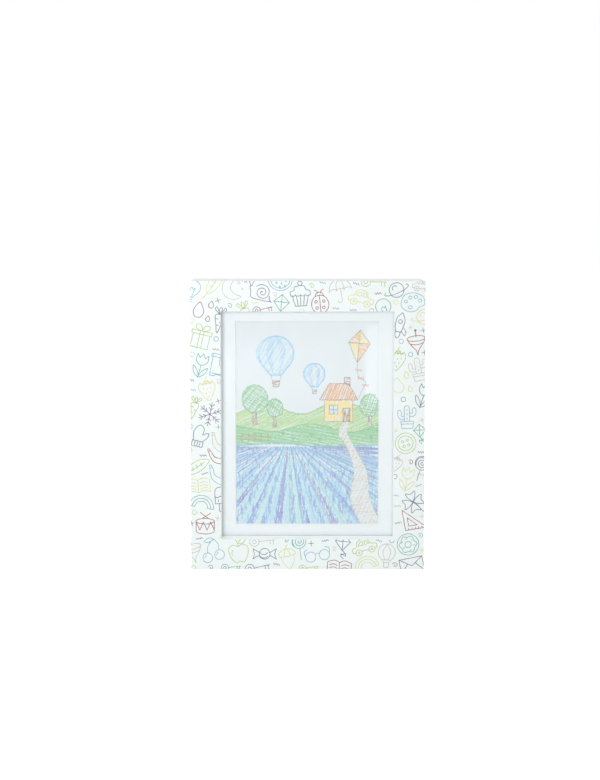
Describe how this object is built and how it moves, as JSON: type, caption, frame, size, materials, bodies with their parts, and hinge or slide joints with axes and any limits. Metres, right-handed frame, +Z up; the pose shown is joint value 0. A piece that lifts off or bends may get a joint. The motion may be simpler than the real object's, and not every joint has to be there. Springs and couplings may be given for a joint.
{
  "type": "childrens art frame",
  "caption": "White children's art frame for A4 drawings: a printed, glazed and matted door frame hinged on a shallow storage box that stands or hangs on a wall.",
  "frame": {"origin": "in the bottom face, in the middle of the frame's width and of its depth", "axes": "+Z up along the long side, +X to the viewer's right, +Y from the printed front towards the wall"},
  "size_m": [0.3277, 0.045, 0.404],
  "materials": {
    "wrap_paper": "satin white paper printed with small coloured line drawings",
    "rail_board": "raw fibreboard",
    "box_lacquer": "satin white lacquer on fibreboard",
    "hardboard": "brown hardboard",
    "clear_cover": "clear acrylic",
    "mat_card": "white mat card with a bevelled window",
    "drawing_paper": "off-white drawing paper with a crayon drawing",
    "stored_paper": "stacked sheets of drawing paper",
    "pocket_card": "folded white card",
    "elastic": "white woven elastic",
    "zinc": "zinc plate",
    "steel": "bright steel",
    "magnet": "nickel plate"
  },
  "bodies": {
    "box": {"box_top_wall": "box_lacquer", "box_bottom_wall": "box_lacquer", "box_left_wall": "box_lacquer", "box_right_wall": "box_lacquer", "back_panel": "hardboard", "panel_point_upper_left": "zinc", "panel_point_upper_right": "zinc", "panel_point_lower_left": "zinc", "panel_point_lower_right": "zinc", "panel_point_top": "zinc", "panel_point_bottom": "zinc", "stored_sheets": "stored_paper", "elastic_strap_upper": "elastic", "elastic_strap_lower": "elastic", "strap_staple_upper_left": "zinc", "strap_staple_upper_right": "zinc", "strap_staple_lower_left": "zinc", "strap_staple_lower_right": "zinc", "sawtooth_hanger": "zinc", "hanger_rivet_left": "steel", "hanger_rivet_right": "steel", "hinge_upper_box_leaf": "steel", "hinge_lower_box_leaf": "steel", "hinge_upper_pin": "steel", "hinge_lower_pin": "steel", "hinge_upper_box_screw_top": "steel", "hinge_upper_box_screw_bottom": "steel", "hinge_lower_box_screw_top": "steel", "hinge_lower_box_screw_bottom": "steel", "magnet_upper": "magnet", "magnet_lower": "magnet"},
    "door": {"printed_wrap": "wrap_paper", "door_top_rail": "rail_board", "door_bottom_rail": "rail_board", "door_left_rail": "rail_board", "door_right_rail": "rail_board", "clear_cover": "clear_cover", "mat_board": "mat_card", "displayed_sheet": "drawing_paper", "corner_pocket_upper_left": "pocket_card", "corner_pocket_upper_right": "pocket_card", "corner_pocket_lower_left": "pocket_card", "corner_pocket_lower_right": "pocket_card", "mat_point_upper_left": "zinc", "mat_point_upper_right": "zinc", "mat_point_lower_left": "zinc", "mat_point_lower_right": "zinc", "mat_point_top": "zinc", "mat_point_bottom": "zinc", "hinge_upper_door_leaf": "steel", "hinge_lower_door_leaf": "steel", "hinge_upper_door_screw_top": "steel", "hinge_upper_door_screw_bottom": "steel", "hinge_lower_door_screw_top": "steel", "hinge_lower_door_screw_bottom": "steel", "strike_disc_upper": "steel", "strike_disc_lower": "steel"}
  },
  "joints": [
    {"name": "door_hinge", "type": "hinge", "parent": "box", "child": "door", "pos_m": [-0.1633, -0.00225, 0], "axis": [0, 0, -1], "range_deg": [0, 180]}
  ]
}
